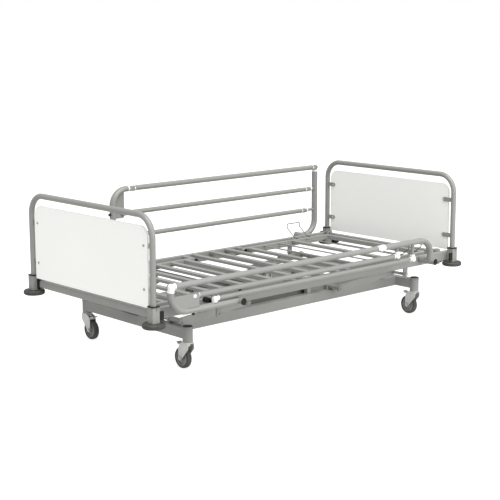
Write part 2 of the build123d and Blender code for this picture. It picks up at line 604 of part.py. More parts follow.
# ---------------------------------------------------------------- end boards
def end_board(end_name, end):
    """One lift-out end board: bent tube with four tabs, panel, and screws."""
    x = end * LEG_X
    outer_face = x + end * PANEL_T / 2
    inner_face = x - end * PANEL_T / 2
    tabs = [(side * TAB_Y, z) for side in SIDES.values() for z in TAB_Z]

    with BuildPart() as tube:
        with BuildLine(Plane.YZ.offset(x)) as bend:
            FilletPolyline((-LEG_Y, LEG_FOOT), (-LEG_Y, BOARD_TOP), (LEG_Y, BOARD_TOP),
                           (LEG_Y, LEG_FOOT), radius=BOARD_BEND)
        with BuildSketch(Plane.XY.offset(LEG_FOOT)):
            with Locations((x, -LEG_Y)):
                Circle(BOARD_R)
        sweep(path=bend.line)
        with BuildSketch(Plane.YZ.offset(inner_face)):
            for y, z in tabs:
                side = 1 if y > 0 else -1
                with Locations((y, z)):
                    Circle(TAB_R)
                with Locations(((y + side * (LEG_Y - 8)) / 2, z)):
                    Rectangle(LEG_Y - 8 - TAB_Y, 2 * TAB_R)
            with Locations(tabs):
                Circle(SCREW_R, mode=Mode.SUBTRACT)
        extrude(amount=-end * TAB_T)
        with BuildLine(Plane.YZ.offset(x)) as core:
            FilletPolyline((-LEG_Y, LEG_FOOT), (-LEG_Y, BOARD_TOP), (LEG_Y, BOARD_TOP),
                           (LEG_Y, LEG_FOOT), radius=BOARD_BEND)
        with BuildSketch(Plane.XY.offset(LEG_FOOT)):
            with Locations((x, -LEG_Y)):
                Circle(BOARD_R - STEEL)
        sweep(path=core.line, mode=Mode.SUBTRACT)
    finish(tube, f"{end_name}_board_tube")

    with BuildPart() as panel:
        with BuildSketch(Plane.YZ.offset(inner_face + end * WELD)):
            with Locations((0, (PANEL_LOW + PANEL_HIGH) / 2)):
                Rectangle(2 * PANEL_Y, PANEL_HIGH - PANEL_LOW)
            with Locations(tabs):
                Circle(SCREW_R, mode=Mode.SUBTRACT)
        extrude(amount=end * (PANEL_T - WELD))
        fillet(panel.edges().filter_by(Axis.X).group_by(Axis.Z)[-1], PANEL_CORNER)
        fillet(panel.edges().filter_by(Axis.X).group_by(Axis.Z)[0], 6)
    finish(panel, f"{end_name}_board_panel")

    with BuildPart() as screws:
        shank = span(inner_face - end * (TAB_T + 1), outer_face)
        for y, z in tabs:
            round_bar("X", *shank, (y, z), SCREW_R - FIT)
            round_bar("X", *span(outer_face + end * WELD, outer_face + end * 2), (y, z), SCREW_HEAD_R)
            round_bar("X", *span(outer_face - end * 0.5, outer_face + end * 1), (y, z), SCREW_R - FIT)
            nut = inner_face - end * (TAB_T + WELD)
            round_bar("X", *span(nut, nut - end * 4), (y, z), SCREW_HEAD_R - 0.5)
    finish(screws, f"{end_name}_board_screws")


for end_name, end in ENDS.items():
    end_board(end_name, end)


# ---------------------------------------------------------------- side rails
def side_rail(name, side, pivot_x, raised):
    """One folding three-bar rail.  In the rail's own plane u points to the head and v up when the
    rail is raised; folded down, u points up and v to the foot.  Depth is counted outwards."""
    u_dir = (1, 0, 0) if raised else (0, 0, 1)
    hub = {}
    for end_name, x in (("bow", pivot_x), ("post", pivot_x + RAIL_SPAN)):
        hub[end_name] = Plane(origin=(x, side * RAIL_Y, PIVOT_Z), x_dir=u_dir, z_dir=(0, -1, 0))
    out = -side

    def slab(plane, depth0, depth1, shape, mode=Mode.ADD):
        """Extrude a sketch made by shape() between two depths."""
        with BuildSketch(plane.offset(out * depth0)) as outline:
            shape()
        extrude(outline.sketch, amount=out * (depth1 - depth0), mode=mode)

    def disc(centre, radius):
        def shape():
            with Locations(centre):
                Circle(radius)
        return shape

    def rectangle(centre, size):
        def shape():
            with Locations(centre):
                Rectangle(*size)
        return shape

    def oval_tube(plane, points):
        """Sweep the hollow oval section along a filleted path in the rail's plane."""
        with BuildLine(plane) as spine:
            FilletPolyline(*points, radius=RAIL_BEND)
        start = Plane(origin=spine.line @ 0, x_dir=(0, 1, 0), z_dir=spine.line % 0)
        with BuildSketch(start) as section:
            Ellipse(OVAL_Y, OVAL_R)
            Ellipse(OVAL_Y - STEEL, OVAL_R - STEEL, mode=Mode.SUBTRACT)
        sweep(section.sketch, path=spine.line)

    def pivot_tube(plane):
        slab(plane, TUBE_START - RAIL_Y, TUBE_END - RAIL_Y, disc((0, 0), PIVOT_TUBE_R))
        slab(plane, TUBE_START - RAIL_Y, TUBE_END - RAIL_Y - 5, disc((0, 0), PIVOT_PIN_R + FIT),
             mode=Mode.SUBTRACT)

    def cross_bar(plane, start, stop, centre, radius, wall=STEEL):
        """Add a round tube that lies in the rail's plane along u, from start to stop."""
        origin = plane.from_local_coords(Vector(start, centre, 0))
        with BuildSketch(Plane(origin=origin, x_dir=(0, 1, 0), z_dir=plane.x_dir)) as section:
            Circle(radius)
            if wall:
                Circle(radius - wall, mode=Mode.SUBTRACT)
        extrude(section.sketch, amount=stop - start)

    # bow at the foot end
    with BuildPart() as bow:
        plane = hub["bow"]
        u, v = TOP_UV
        oval_tube(plane, ((0, 0), (0, v), (u - COLLAR_TO, v)))
        pivot_tube(plane)

        with BuildSketch(plane.offset(out * KNUCKLE_IN)):
            with BuildLine():
                Polyline((0, GUSSET_LOW), (GUSSET_EDGE - 8, GUSSET_LOW), (GUSSET_EDGE, GUSSET_LOW + 8),
                         (GUSSET_EDGE, v - 1), (RAIL_BEND * 0.293, v - RAIL_BEND * 0.293),
                         (0, v - RAIL_BEND), close=True)
            make_face()
            with Locations(MID_UV):
                Circle(RIVET_R + FIT, mode=Mode.SUBTRACT)
        extrude(amount=out * GUSSET_T)
        with BuildSketch(Plane(origin=plane.from_local_coords(Vector(-OVAL_R - 2, MID_UV[1], 0)),
                               z_dir=plane.x_dir)):
            Circle(BUTTON_R + FIT)
        extrude(amount=OVAL_R, mode=Mode.SUBTRACT)
    finish(bow, f"{name}_rail_bow")

    with BuildPart() as button:
        with BuildSketch(Plane(origin=hub["bow"].from_local_coords(Vector(-BUTTON_OUT, MID_UV[1], 0)),
                               z_dir=hub["bow"].x_dir)):
            Circle(BUTTON_R)
        extrude(amount=18)
    finish(button, f"{name}_rail_button")

    # post at the head end, with the stubs of the two lower bars
    with BuildPart() as post:
        plane = hub["post"]
        u, v = TOP_UV
        oval_tube(plane, ((0, 0), (u, 0), (u, v - COLLAR_TO)))
        pivot_tube(plane)
        for bar_u, bar_v in (MID_UV, LOW_UV):
            cross_bar(plane, bar_u + COLLAR_TO, u - OVAL_R + 0.5, bar_v, STUB_R)
    finish(post, f"{name}_rail_post")

    # white joints: a half knuckle on the outer side and a collar round the tube's end
    with BuildPart() as bow_joints:
        plane = hub["bow"]
        u, v = TOP_UV
        slab(plane, KNUCKLE_IN, KNUCKLE_OUT, disc(TOP_UV, KNUCKLE_R))
        cross_bar(plane, u - COLLAR_TO + WELD, u - COLLAR_FROM, v, OVAL_R, wall=0)
        neck = rectangle((u - COLLAR_FROM / 2, v), (COLLAR_FROM, 2 * KNUCKLE_R - 6))
        slab(plane, KNUCKLE_IN, KNUCKLE_OUT, neck)
        slab(plane, KNUCKLE_IN, KNUCKLE_OUT, disc(TOP_UV, RIVET_R + FIT), mode=Mode.SUBTRACT)
        slab(plane, KNUCKLE_IN, KNUCKLE_OUT, disc(LOW_UV, LOW_KNUCKLE_R))
        root = OVAL_R + WELD
        shoe = rectangle(((root + LOW_UV[0]) / 2, LOW_UV[1]), (LOW_UV[0] - root, 2 * LOW_KNUCKLE_R - 4))
        slab(plane, KNUCKLE_IN, KNUCKLE_OUT - 4, shoe)
        slab(plane, KNUCKLE_IN, KNUCKLE_OUT, disc(LOW_UV, RIVET_R + FIT), mode=Mode.SUBTRACT)
    finish(bow_joints, f"{name}_rail_bow_joints")

    with BuildPart() as post_joints:
        plane = hub["post"]
        for (u, v), radius in ((TOP_UV, KNUCKLE_R), (MID_UV, LOW_KNUCKLE_R), (LOW_UV, LOW_KNUCKLE_R)):
            slab(plane, KNUCKLE_IN, KNUCKLE_OUT, disc((u, v), radius))
            if v == TOP_UV[1]:
                collar_plane = Plane(origin=plane.from_local_coords(Vector(u, v - COLLAR_TO + WELD, 0)),
                                     x_dir=(0, 1, 0), z_dir=plane.y_dir)
                neck = rectangle((u, v - COLLAR_FROM / 2), (2 * radius - 6, COLLAR_FROM))
            else:
                collar_plane = Plane(origin=plane.from_local_coords(Vector(u + COLLAR_TO - WELD, v, 0)),
                                     x_dir=(0, 1, 0), z_dir=-plane.x_dir)
                neck = rectangle((u + COLLAR_FROM / 2, v), (COLLAR_FROM, 2 * radius - 8))
            with BuildSketch(collar_plane):
                Circle(radius)
            extrude(amount=COLLAR_TO - WELD - COLLAR_FROM)
            slab(plane, KNUCKLE_IN, KNUCKLE_OUT, neck)
            slab(plane, KNUCKLE_IN, KNUCKLE_OUT, disc((u, v), RIVET_R + RIVET_PLAY), mode=Mode.SUBTRACT)
    finish(post_joints, f"{name}_rail_post_joints")

    # the three bars, level in every position of the rail
    for bar_name, (u, v), radius in (("top", TOP_UV, TOP_BAR_R), ("mid", MID_UV, BAR_R),
                                     ("low", LOW_UV, BAR_R)):
        joint = hub["bow"].from_local_coords(Vector(u, v, 0))
        x0, x1 = joint.X, joint.X + RAIL_SPAN
        level = Plane(origin=(x0, side * RAIL_Y, joint.Z), x_dir=(1, 0, 0), z_dir=(0, -1, 0))
        with BuildPart() as bar:
            round_bar("X", x0 + TONGUE, x1 - TONGUE, (side * RAIL_Y, joint.Z), radius, radius - STEEL)
            for x, toward in ((0, 1), (RAIL_SPAN, -1)):
                tongue = rectangle((x + toward * (TONGUE / 2 + 1), 0), (TONGUE + 2, 2 * radius - 6))
                slab(level, -radius + 1, KNUCKLE_IN - 0.5, tongue)
                slab(level, -radius + 1, KNUCKLE_IN - 0.5, disc((x, 0), radius - 1))
                slab(level, -radius + 2, KNUCKLE_OUT + 1, disc((x, 0), RIVET_R))
                slab(level, KNUCKLE_OUT + 0.5, KNUCKLE_OUT + 3, disc((x, 0), RIVET_R + 3))
        finish(bar, f"{name}_rail_{bar_name}_bar")


side_rail("near", SIDES["near"], NEAR_PIVOT_X, raised=False)
side_rail("far", SIDES["far"], FAR_PIVOT_X, raised=True)
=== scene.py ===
import json
from math import cos, pi, radians, sin

import bmesh
import bpy
from mathutils import Matrix, Vector


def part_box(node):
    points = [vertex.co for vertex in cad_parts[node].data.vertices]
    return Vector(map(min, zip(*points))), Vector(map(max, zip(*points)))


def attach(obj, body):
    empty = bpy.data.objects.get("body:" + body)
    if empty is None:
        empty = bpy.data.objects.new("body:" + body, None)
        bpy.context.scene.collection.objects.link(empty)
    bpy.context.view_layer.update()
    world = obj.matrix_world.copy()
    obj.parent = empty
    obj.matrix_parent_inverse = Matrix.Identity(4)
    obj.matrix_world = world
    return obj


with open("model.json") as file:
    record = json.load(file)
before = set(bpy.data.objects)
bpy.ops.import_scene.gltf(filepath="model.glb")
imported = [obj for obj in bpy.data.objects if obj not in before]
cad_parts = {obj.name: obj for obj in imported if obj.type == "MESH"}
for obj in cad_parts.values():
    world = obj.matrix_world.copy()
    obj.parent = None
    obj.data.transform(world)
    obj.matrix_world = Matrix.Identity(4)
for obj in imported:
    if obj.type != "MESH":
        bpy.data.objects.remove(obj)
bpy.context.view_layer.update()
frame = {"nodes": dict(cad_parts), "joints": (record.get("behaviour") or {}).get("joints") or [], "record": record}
JOINT = {j["name"]: j for j in frame["joints"]}
SIDES = {"near": -1, "far": 1}
ENDS = {"foot": -1, "head": 1}
X, Y, Z = Vector((1, 0, 0)), Vector((0, 1, 0)), Vector((0, 0, 1))
SQUARE = ((-1, -1), (1, -1), (1, 1), (-1, 1))


def at(joint):
    """Where a joint is at rest."""
    return Vector(JOINT[joint]["pos_m"])


# ------------------------------------------------------- sizes that follow the CAD, in metres
LIFT_SPAN = at("head_lift").x - at("lift").x        # from the foot arms to the head arms
LIFT_ARM_FACE, HANGER_FACE = 0.3512, 0.3662         # outer faces, from the middle of the bed
BACKREST_LUG_FACE, THIGH_LUG_FACE, KNEE_FACE = 0.357, 0.327, 0.387

SEAT_SLATS = (-0.052, 0.074, 0.188)                 # where the slats cross, along the bed
BACK_SLATS = (0.300, 0.645)
THIGH_SLATS = (-0.184, -0.280, -0.376)
FOOT_SLATS = (-0.500, -0.592, -0.700, -0.808, -0.890)
MEMBER_FACE = 0.4300                                # inner face of the deck's side members

POLE_SOCKET = 0.9855                                # along the bed
BOARD_SCREWS_Y, BOARD_SCREWS_Z = (-0.418, 0.418), (0.420, 0.616)
BOARD_TUBE_R = 0.014
BAR_RADIUS = {"top": 0.0140, "mid": 0.0125, "low": 0.0125}
BACK, OUT = -0.0021, 0.0194                         # inner and outer face of a rail joint's cover
COVER_R, SLIM_COVER_R = 0.0152, 0.0132              # covers of the top bars and of the others
NECK, LONG_NECK = 0.0165, 0.0272                    # from a joint's pivot to the tube
OVAL_TUBE = (0.0147, 0.0192)                        # half width and half depth of bow and post

BEAD_STEP = 0.0022


# ---------------------------------------------------------------- materials
COAT = (0.252, 0.256, 0.238)                        # the frame's grey powder coat


class Material:
    """A procedural material, built up layer by layer from a plain Principled shader."""

    def __init__(self, name, colour, **sockets):
        self.material = bpy.data.materials.new(name)
        self.material.use_nodes = True
        self.nodes = self.material.node_tree.nodes
        self.shader = self.nodes["Principled BSDF"]
        self.shader.inputs["Base Color"].default_value = (*colour, 1)
        for socket, value in sockets.items():
            self.shader.inputs[socket.replace("_", " ")].default_value = value
        self.place = self.add("ShaderNodeTexCoord").outputs["Object"]
        self.colour = colour
        self.top = None
        self.normal = None

    def add(self, kind, **settings):
        """A new node."""
        node = self.nodes.new(kind)
        for key, value in settings.items():
            setattr(node, key, value)
        return node

    def link(self, output, socket):
        self.material.node_tree.links.new(output, socket)

    def noise(self, scale, detail=2.0, roughness=0.5, stretch=None):
        """A noise in the object's own space; stretch makes it long along an axis."""
        node = self.add("ShaderNodeTexNoise")
        node.inputs["Scale"].default_value = scale
        node.inputs["Detail"].default_value = detail
        node.inputs["Roughness"].default_value = roughness
        place = self.place
        if stretch:
            mapping = self.add("ShaderNodeMapping")
            mapping.inputs["Scale"].default_value = stretch
            self.link(place, mapping.inputs["Vector"])
            place = mapping.outputs["Vector"]
        self.link(place, node.inputs["Vector"])
        return node.outputs["Fac"]

    def remap(self, value, low, high, to_low, to_high):
        """A value stretched from one range to another, and held inside it."""
        node = self.add("ShaderNodeMapRange")
        for socket, number in zip(("From Min", "From Max", "To Min", "To Max"),
                                  (low, high, to_low, to_high)):
            node.inputs[socket].default_value = number
        self.link(value, node.inputs["Value"])
        return node.outputs["Result"]

    def times(self, a, b):
        node = self.add("ShaderNodeMath", operation="MULTIPLY")
        self.link(a, node.inputs[0])
        self.link(b, node.inputs[1])
        return node.outputs[0]

    def tint(self, factor, colour):
        """Paint a colour over what is there, by a factor from 0 to 1."""
        node = self.add("ShaderNodeMix", data_type="RGBA")
        self.link(factor, node.inputs["Factor"])
        if self.top is None:
            node.inputs["A"].default_value = (*self.colour, 1)
        else:
            self.link(self.top, node.inputs["A"])
        node.inputs["B"].default_value = (*colour, 1)
        self.top = node.outputs["Result"]
        self.link(self.top, self.shader.inputs["Base Color"])
        return self

    def vary(self, scale, amount, detail=3.0):
        """Slow, slight changes of tone."""
        darker = tuple(c * (1 - amount) for c in self.colour)
        return self.tint(self.remap(self.noise(scale, detail), 0.35, 0.65, 0, 1), darker)

    def roughness(self, scale, low, high, stretch=None):
        """Roughness that wanders from low to high."""
        value = self.noise(scale, 4.0, 0.6, stretch)
        self.link(self.remap(value, 0.3, 0.7, low, high), self.shader.inputs["Roughness"])
        return self

    def bump(self, scale, strength, distance, detail=2.0, stretch=None):
        """Fine relief over the normal that is there."""
        node = self.add("ShaderNodeBump")
        node.inputs["Strength"].default_value = strength
        node.inputs["Distance"].default_value = distance
        self.link(self.noise(scale, detail, 0.5, stretch), node.inputs["Height"])
        if self.normal is not None:
            self.link(self.normal, node.inputs["Normal"])
        self.normal = node.outputs["Normal"]
        self.link(self.normal, self.shader.inputs["Normal"])
        return self

    def soft_edges(self, radius, colour, wear):
        """Round the edges in the shading and paint the wear that they get."""
        bevel = self.add("ShaderNodeBevel", samples=4)
        bevel.inputs["Radius"].default_value = radius
        geometry = self.add("ShaderNodeNewGeometry")
        dot = self.add("ShaderNodeVectorMath", operation="DOT_PRODUCT")
        self.link(bevel.outputs["Normal"], dot.inputs[0])
        self.link(geometry.outputs["Normal"], dot.inputs[1])
        edge = self.remap(dot.outputs["Value"], 0.999, 0.93, 0, wear)
        chips = self.remap(self.noise(160, 5.0, 0.65), 0.42, 0.6, 0, 1)
        self.tint(self.times(edge, chips), colour)
        self.normal = bevel.outputs["Normal"]
        self.link(self.normal, self.shader.inputs["Normal"])
        return self

    def dust(self, colour, amount, height):
        """Grime that fades out with height above the floor."""
        split = self.add("ShaderNodeSeparateXYZ")
        self.link(self.place, split.inputs["Vector"])
        low = self.remap(split.outputs["Z"], height, 0.0, 0, amount)
        patches = self.remap(self.noise(45, 6.0, 0.7), 0.35, 0.7, 0, 1)
        return self.tint(self.times(low, patches), colour)


def powder_coat():
    m = Material("powder_coat", COAT, Specular_IOR_Level=0.5)
    m.vary(3.0, 0.05)
    m.soft_edges(0.0012, (0.56, 0.56, 0.53), 0.55)
    m.dust((0.20, 0.195, 0.18), 0.45, 0.20)
    m.roughness(22, 0.33, 0.46)
    return m.bump(900, 0.10, 0.0004)


def panel_laminate():
    m = Material("panel_laminate", (0.915, 0.92, 0.885), Specular_IOR_Level=0.4)
    m.vary(1.6, 0.02)
    m.tint(m.remap(m.noise(1400, 1.0), 0.60, 0.72, 0, 0.10), (0.62, 0.62, 0.58))
    m.soft_edges(0.0015, (0.70, 0.69, 0.65), 0.5)
    m.roughness(14, 0.34, 0.46)
    return m.bump(600, 0.06, 0.0003)


def white_plastic():
    m = Material("white_plastic", (0.86, 0.86, 0.84), Coat_Weight=0.25, Coat_Roughness=0.2)
    m.vary(30, 0.04)
    m.soft_edges(0.0010, (0.72, 0.71, 0.67), 0.5)
    m.roughness(60, 0.24, 0.36)
    return m.bump(1500, 0.05, 0.0002)


def dark_plastic(name, colour, low, high, specular=0.5, wear=0.5):
    """Moulded plastic with a fine spark-eroded grain, scuffed paler at the edges."""
    m = Material(name, colour, Specular_IOR_Level=specular)
    m.vary(40, 0.18)
    m.soft_edges(0.0010, tuple(0.03 + 1.7 * c for c in colour), wear)
    m.roughness(70, low, high)
    return m.bump(1800, 0.25, 0.0003, 3.0)


def fork_steel():
    m = Material("fork_steel", (0.66, 0.665, 0.65), Metallic=0.65)
    m.vary(55, 0.10, 5.0)
    m.soft_edges(0.0008, (0.85, 0.85, 0.83), 0.6)
    m.dust((0.25, 0.24, 0.22), 0.5, 0.11)
    m.roughness(90, 0.32, 0.50)
    return m.bump(400, 0.12, 0.0003, 3.0)


def wire_steel():
    m = Material("wire_steel", (0.115, 0.115, 0.108), Metallic=0.35)
    m.vary(120, 0.15, 4.0)
    m.soft_edges(0.0006, (0.30, 0.30, 0.29), 0.5)
    m.roughness(200, 0.34, 0.50)
    return m.bump(700, 0.10, 0.0002, 3.0)


def bright_steel():
    m = Material("bright_steel", (0.60, 0.60, 0.59), Metallic=1.0)
    m.vary(80, 0.12, 4.0)
    m.soft_edges(0.0006, (0.78, 0.78, 0.77), 0.7)
    m.roughness(180, 0.20, 0.36, (1, 1, 0.15))
    return m.bump(900, 0.10, 0.0002, 2.0, (1, 1, 0.1))


def tyre_rubber():
    m = Material("tyre_rubber", (0.050, 0.052, 0.048))
    m.vary(35, 0.25, 5.0)
    m.dust((0.17, 0.165, 0.15), 0.75, 0.06)
    m.roughness(120, 0.58, 0.82)
    return m.bump(1300, 0.35, 0.0004, 4.0)


def weld_coat():
    m = Material("weld_coat", tuple(c * 0.97 for c in COAT), Specular_IOR_Level=0.5)
    m.vary(120, 0.12)
    m.roughness(140, 0.36, 0.52)
    return m.bump(500, 0.30, 0.0006, 3.0)


MATERIALS = {
    "powder_coat": powder_coat(),
    "panel_laminate": panel_laminate(),
    "white_plastic": white_plastic(),
    "black_plastic": dark_plastic("black_plastic", (0.007, 0.007, 0.0065), 0.42, 0.58, 0.30, 0.30),
    "bumper_plastic": dark_plastic("bumper_plastic", (0.052, 0.054, 0.048), 0.50, 0.68, 0.40),
    "fork_steel": fork_steel(),
    "bright_steel": bright_steel(),
    "wire_steel": wire_steel(),
    "hub_plastic": dark_plastic("hub_plastic", (0.25, 0.255, 0.25), 0.42, 0.58),
    "tyre_rubber": tyre_rubber(),
    "drive_plastic": dark_plastic("drive_plastic", (0.085, 0.087, 0.085), 0.42, 0.58),
    "weld_coat": weld_coat(),
}


def paint(obj, name):
    """Give a mesh one of the materials above, and nothing else."""
    obj.data.materials.clear()
    obj.data.materials.append(MATERIALS[name].material)


for part in frame["record"]["subparts"]:
    paint(frame["nodes"][part["node"]], part["material_slot"])
paint(frame["nodes"]["mattress_retainers"], "wire_steel")


# ---------------------------------------------------------------- mesh steps
def across(axis):
    """Two unit vectors square to an axis and to each other."""
    axis = axis.normalized()
    first = axis.cross(Z if abs(axis.z) < 0.9 else X).normalized()
    return first, axis.cross(first)


def circle(centre, axis, radius, sides, turn=0.0):
    """Points round a circle."""
    u, v = across(axis)
    angles = [turn + 2 * pi * i / sides for i in range(sides)]
    return [centre + radius * (cos(a) * u + sin(a) * v) for a in angles]


def oval(centre, u, half_u, v, half_v, sides, turn=0.0):
    """Points round an ellipse that reaches half_u along u and half_v along v."""
    angles = [turn + 2 * pi * i / sides for i in range(sides)]
    return [centre + half_u * cos(a) * u + half_v * sin(a) * v for a in angles]


def loft(bm, rings, closed=False):
    """Join rings of equal length by quads; the ends are capped unless it closes on itself."""
    rows = [[bm.verts.new(p) for p in points] for points in rings]
    pairs = list(zip(rows, rows[1:])) + ([(rows[-1], rows[0])] if closed else [])
    for a, b in pairs:
        for i in range(len(a)):
            j = (i + 1) % len(a)
            bm.faces.new((a[i], a[j], b[j], b[i]))
    if not closed:
        bm.faces.new(list(reversed(rows[0])))
        bm.faces.new(rows[-1])


def lathe(bm, centre, axis, profile, sides=32, turn=0.0):
    """A turned solid; its profile is pairs of distance along the axis and radius."""
    axis = axis.normalized()
    loft(bm, [circle(centre + d * axis, axis, r, sides, turn) for d, r in profile])


def bead(bm, points, radius, closed=False, sides=6):
    """A weld bead: a rippled rope along a line of points."""
    rings = []
    count = len(points)
    for i, point in enumerate(points):
        before = points[i - 1] if i or closed else point
        after = points[(i + 1) % count] if i < count - 1 or closed else point
        ripple = radius * (1 + 0.16 * sin(2.1 * i) + 0.08 * sin(5.3 * i + 1))
        rings.append(circle(point, after - before, ripple, sides))
    loft(bm, rings, closed)


def seam(bm, start, way, radius):
    """A straight bead from a point along a vector."""
    end = start + way
    count = max(2, int((end - start).length / BEAD_STEP))
    bead(bm, [start.lerp(end, i / count) for i in range(count + 1)], radius)


def ring_seam(bm, centre, axis, ring_radius, radius):
    """A bead right round a circle."""
    count = max(12, int(2 * pi * ring_radius / BEAD_STEP))
    bead(bm, circle(centre, axis, ring_radius, count), radius, closed=True)


def make(name, bm, material, body, sharp=radians(32)):
    """Turn a bmesh into a shaded piece that rides on a body."""
    bmesh.ops.recalc_face_normals(bm, faces=bm.faces)
    for face in bm.faces:
        face.smooth = True
    for edge in bm.edges:
        edge.smooth = len(edge.link_faces) == 2 and edge.calc_face_angle() < sharp
    mesh = bpy.data.meshes.new(name)
    bm.to_mesh(mesh)
    bm.free()
    piece = bpy.data.objects.new(name, mesh)
    bpy.context.scene.collection.objects.link(piece)
    paint(piece, material)
    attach(piece, body)


def hex_head(bm, centre, axis, radius, height):
    """A hexagon head on a washer, with its corners turned off."""
    washer = 0.25 * height
    shoulder, top = height - washer - 0.1 * radius, height - washer
    lathe(bm, centre, axis, [(0, radius * 1.35), (washer, radius * 1.35)], 28)
    lathe(bm, centre + washer * axis, axis,
          [(0.00005, radius), (shoulder, radius), (top, radius * 0.86)], 6, 0.3)


def dome(bm, centre, axis, radius, height):
    """A domed rivet head."""
    profile = [(0, radius), (0.25 * height, radius)]
    for i in range(1, 7):
        lift = i / 6 * pi / 2
        profile.append((height * (0.25 + 0.75 * sin(lift)), radius * (0.02 + 0.98 * cos(lift))))
    lathe(bm, centre, axis, profile, 28)


# ---------------------------------------------------------------- bolts and nuts
def pivot_nuts():
    """Nuts and bolt heads on the pivots of the lift and of the platform's sections."""
    for name, joint, body, face in (
            ("lift_nuts_foot", "lift", "foot_lift", LIFT_ARM_FACE),
            ("lift_nuts_head", "head_lift", "head_lift", LIFT_ARM_FACE),
            ("lift_nuts_hanger", "deck_level", "foot_lift", HANGER_FACE)):
        bm = bmesh.new()
        for side in SIDES.values():
            hex_head(bm, at(joint) + side * face * Y, side * Y, 0.009, 0.005)
        make(name, bm, "powder_coat", body)

    bm = bmesh.new()
    shaft_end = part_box("head_lift_frame")[1].y
    for side in SIDES.values():
        pin = at("deck_level")
        hex_head(bm, Vector((pin.x + LIFT_SPAN, side * shaft_end, pin.z)), side * Y, 0.008, 0.005)
    make("lift_nuts_lug", bm, "bright_steel", "head_lift")

    bm = bmesh.new()
    for joint, face in (("backrest_tilt", BACKREST_LUG_FACE), ("thigh_tilt", THIGH_LUG_FACE)):
        for side in SIDES.values():
            hex_head(bm, at(joint) + side * face * Y, -side * Y, 0.008, 0.005)
    make("hinge_bolts", bm, "black_plastic", "deck")
    bm = bmesh.new()
    for side in SIDES.values():
        hex_head(bm, at("knee") + side * KNEE_FACE * Y, side * Y, 0.008, 0.005)
    make("knee_bolts", bm, "black_plastic", "thigh")


def caster_details():
    """Nuts on the wheels' axles, and the rings of the swivel bearings."""
    bearing_z = 0.1277
    for tag in [f"{end}_{side}" for end in ENDS for side in SIDES]:
        axle = at("wheel_spin_" + tag)
        low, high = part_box("caster_fork_" + tag)
        bm = bmesh.new()
        for face, out in ((-1, axle.x - low.x), (1, high.x - axle.x)):
            hex_head(bm, axle + face * (out - 0.0035) * X, face * X, 0.0085, 0.0045)
        make("axle_nuts_" + tag, bm, "bright_steel", "caster_" + tag)
        bm = bmesh.new()
        swivel = at("swivel_" + tag)
        lathe(bm, Vector((swivel.x, swivel.y, bearing_z)), Z,
              [(0, 0.0245), (0.0008, 0.0252), (0.0024, 0.0252), (0.0033, 0.0240)], 40)
        make("bearing_ring_" + tag, bm, "fork_steel", "caster_" + tag)


# ---------------------------------------------------------------- side rails
def rail_caps():
    """Black caps that close the outer ends of the side rails' pivot tubes."""
    cap = [(0, 0.0166), (0.0005, 0.0168), (0.0007, 0.0160), (0.0008, 0.0120)]
    sunk = 0.0007
    for name, side in SIDES.items():
        for body, joint in (("bow", "rail_fold"), ("post", "rail_post_fold")):
            low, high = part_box(f"{name}_rail_{body}")
            end = high.y if side > 0 else -low.y
            centre = at(f"{name}_{joint}")
            centre.y = side * (end - sunk)
            bm = bmesh.new()
            lathe(bm, centre, side * Y, cap, 40)
            make(f"{name}_{body}_cap", bm, "black_plastic", f"{name}_{body}")


def knuckle(bm, pivot, neck, side, radius, length, root):
    """A smooth cover over the outer half of a rail joint, with a straight neck along `neck`.

    The cover is `OUT` deep at the pivot and `root` deep at the end of the neck.
    """
    width = neck.cross(Y)
    sections = [(-length, radius, root), (-0.35 * length, radius, 0.5 * (root + OUT))]
    for i in range(12):
        turn = i / 11 * 0.497 * pi      # stops just short of a right angle, where the dome closes
        depth = BACK + (OUT - BACK) * cos(turn) ** 0.5
        sections.append((radius * sin(turn), radius * cos(turn), depth))
    rings = []
    for along, half, depth in sections:
        ring = []
        for k in range(17):
            angle = k / 16 * pi
            across_it = half * abs(cos(angle)) ** 0.75 * (1 if angle < pi / 2 else -1)
            out = BACK + (depth - BACK) * sin(angle) ** 0.75
            ring.append(pivot - along * neck + across_it * width + side * out * Y)
        rings.append(ring)
    loft(bm, rings)


def top_knuckle(bm, pivot, neck, side):
    """A top joint's cover, with the oval collar that closes the end of its oval tube."""
    knuckle(bm, pivot, neck, side, COVER_R, NECK, OUT)
    loft(bm, [oval(pivot + along * neck, neck.cross(Y), half, Y, depth, 36)
              for along, half, depth in ((0.0157, 0.0140, 0.0176), (0.0168, 0.0152, 0.0190),
                                         (0.0246, 0.0154, 0.0194), (0.0252, 0.0150, 0.0190))])


def bar_end(ears, sleeves, pivot, toward, side, radius, start):
    """The end of a rail bar: a coated ear beside the joint and a white sleeve on the tube."""
    rings = []
    for depth, inset in ((0.00255, 0.0), (radius - 0.0016, 0.0), (radius - 0.0002, 0.0010),
                         (radius + 0.0004, 0.0030)):
        ear = radius - 0.0003 - inset
        angles = [pi / 2 + pi * k / 16 for k in range(17)]
        flat = [(start + 0.001, -ear), (start + 0.001, ear)]
        outline = [(ear * cos(a), ear * sin(a)) for a in angles] + flat
        rings.append([pivot + toward * x * X + z * Z - side * depth * Y for x, z in outline])
    loft(ears, rings)
    length = max(0.0245 - start, 0.0035)
    lathe(sleeves, pivot + toward * start * X, toward * X,
          [(0, 0.80 * radius), (0.0006, 0.93 * radius), (0.0018, radius + 0.0006),
           (length, radius + 0.0006), (length + 0.0004, radius + 0.0001)], 36)


def rail_axes(side):
    """Up and along in a rail's own plane: the far rail is raised, the near one folded."""
    return (Z, X) if side > 0 else (-X, Z)


